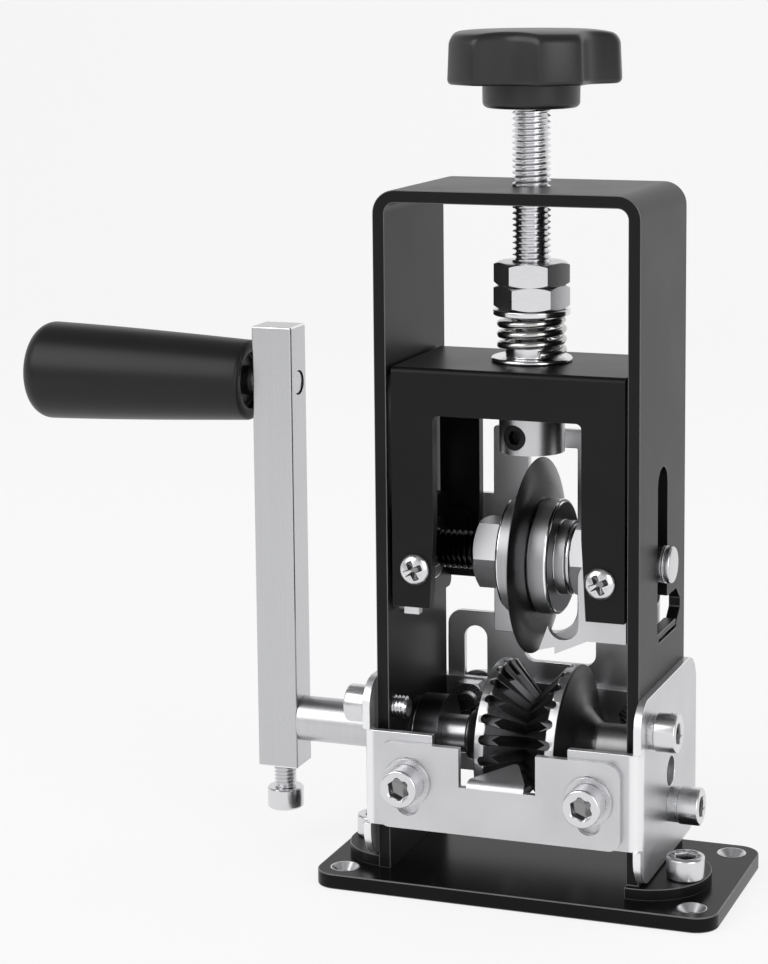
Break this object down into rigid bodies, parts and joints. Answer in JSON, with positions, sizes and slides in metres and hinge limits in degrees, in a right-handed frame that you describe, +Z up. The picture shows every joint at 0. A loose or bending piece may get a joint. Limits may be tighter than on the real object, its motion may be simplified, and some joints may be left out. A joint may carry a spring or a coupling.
{
  "type": "hand crank wire stripper",
  "caption": "Bench wire stripper: a crank turns a toothed V-groove roller that feeds wire under a round blade, held in a sprung yoke and set by a star knob.",
  "frame": {"origin": "on the underside of the base plate, halfway between the frame's two walls and between their front and rear edges", "axes": "+X along the shafts to the right, away from the crank; +Y to the rear, along the wire; +Z up"},
  "size_m": [0.199, 0.0693, 0.2206],
  "materials": {
    "black_coat": "satin black powder coat",
    "zinc_sheet": "satin zinc plate",
    "bright_steel": "bright turned steel",
    "spring_steel": "drawn spring wire",
    "arm_steel": "brushed square bar",
    "dark_steel": "blackened steel",
    "blade_steel": "ground tool steel",
    "black_plastic": "satin moulded plastic"
  },
  "bodies": {
    "frame": {"base_plate": "black_coat", "outer_frame": "black_coat", "foot_screws": "bright_steel", "side_bracket": "zinc_sheet", "side_screws": "bright_steel", "side_washers": "bright_steel", "rear_crossbar": "zinc_sheet", "left_bush": "dark_steel", "right_bush": "dark_steel", "front_guide_screws": "bright_steel", "front_guide_washers": "bright_steel", "front_guide_nuts": "bright_steel", "rear_guide_screws": "bright_steel", "rear_guide_washers": "bright_steel", "rear_guide_nuts": "bright_steel"},
    "front_guide": {"front_guide_plate": "zinc_sheet"},
    "rear_guide": {"rear_guide_plate": "zinc_sheet"},
    "crank": {"crank_arm": "arm_steel", "crank_clamp_screw": "bright_steel", "handle_spindle": "bright_steel", "drive_shaft": "bright_steel", "roller_left": "dark_steel", "roller_right": "dark_steel", "shaft_collar": "dark_steel", "shaft_collar_screw": "dark_steel"},
    "grip": {"handle_grip": "black_plastic"},
    "spring_seat": {"upper_washer": "bright_steel", "pressure_spring": "spring_steel"},
    "screw": {"star_knob": "black_plastic", "pressure_screw": "bright_steel", "upper_jam_nut": "bright_steel", "lower_jam_nut": "bright_steel", "screw_collar": "bright_steel", "screw_collar_screw": "dark_steel"},
    "yoke": {"lower_washer": "bright_steel", "yoke": "black_coat", "left_side_plate": "black_coat", "right_side_plate": "black_coat", "yoke_screws": "bright_steel", "left_axle_bush": "dark_steel", "right_axle_bush": "dark_steel", "hold_down_plate": "zinc_sheet", "rear_guard_plate": "zinc_sheet", "rear_guard_screws": "bright_steel"},
    "blade_rotor": {"blade_axle": "bright_steel", "blade": "blade_steel", "left_flange": "blade_steel", "right_flange": "blade_steel", "left_axle_nut": "bright_steel", "right_axle_nut": "bright_steel", "hub_snap_ring": "dark_steel", "axle_circlips": "bright_steel"}
  },
  "joints": [
    {"name": "crank_spin", "type": "hinge", "parent": "frame", "child": "crank", "pos_m": [0, 0, 0.035], "axis": [1, 0, 0], "continuous": true},
    {"name": "grip_spin", "type": "hinge", "parent": "crank", "child": "grip", "pos_m": [-0.11, 0, 0.127], "axis": [1, 0, 0], "continuous": true},
    {"name": "front_guide_slide", "type": "slide", "parent": "frame", "child": "front_guide", "axis": [0, 0, 1], "range_m": [-0.0029, 0.0055]},
    {"name": "rear_guide_slide", "type": "slide", "parent": "frame", "child": "rear_guide", "axis": [0, 0, 1], "range_m": [-0.016, 0]},
    {"name": "screw_travel", "type": "slide", "parent": "frame", "child": "spring_seat", "axis": [0, 0, 1], "range_m": [-0.0105, 0.013]},
    {"name": "screw_turn", "type": "hinge", "parent": "spring_seat", "child": "screw", "pos_m": [0, 0, 0.16], "axis": [0, 0, 1], "range_deg": [-2520, 3120]},
    {"name": "yoke_float", "type": "slide", "parent": "spring_seat", "child": "yoke", "axis": [0, 0, 1], "range_m": [0, 0.0015], "stiffness_N_per_m": 7000, "springref_m": -0.003, "deforming": ["pressure_spring"]},
    {"name": "blade_spin", "type": "hinge", "parent": "yoke", "child": "blade_rotor", "pos_m": [0.0015, 0, 0.085], "axis": [1, 0, 0], "continuous": true}
  ],
  "couplings": [
    {"joint": "screw_turn", "follows": "screw_travel", "rad_per_m": 4188.8}
  ]
}
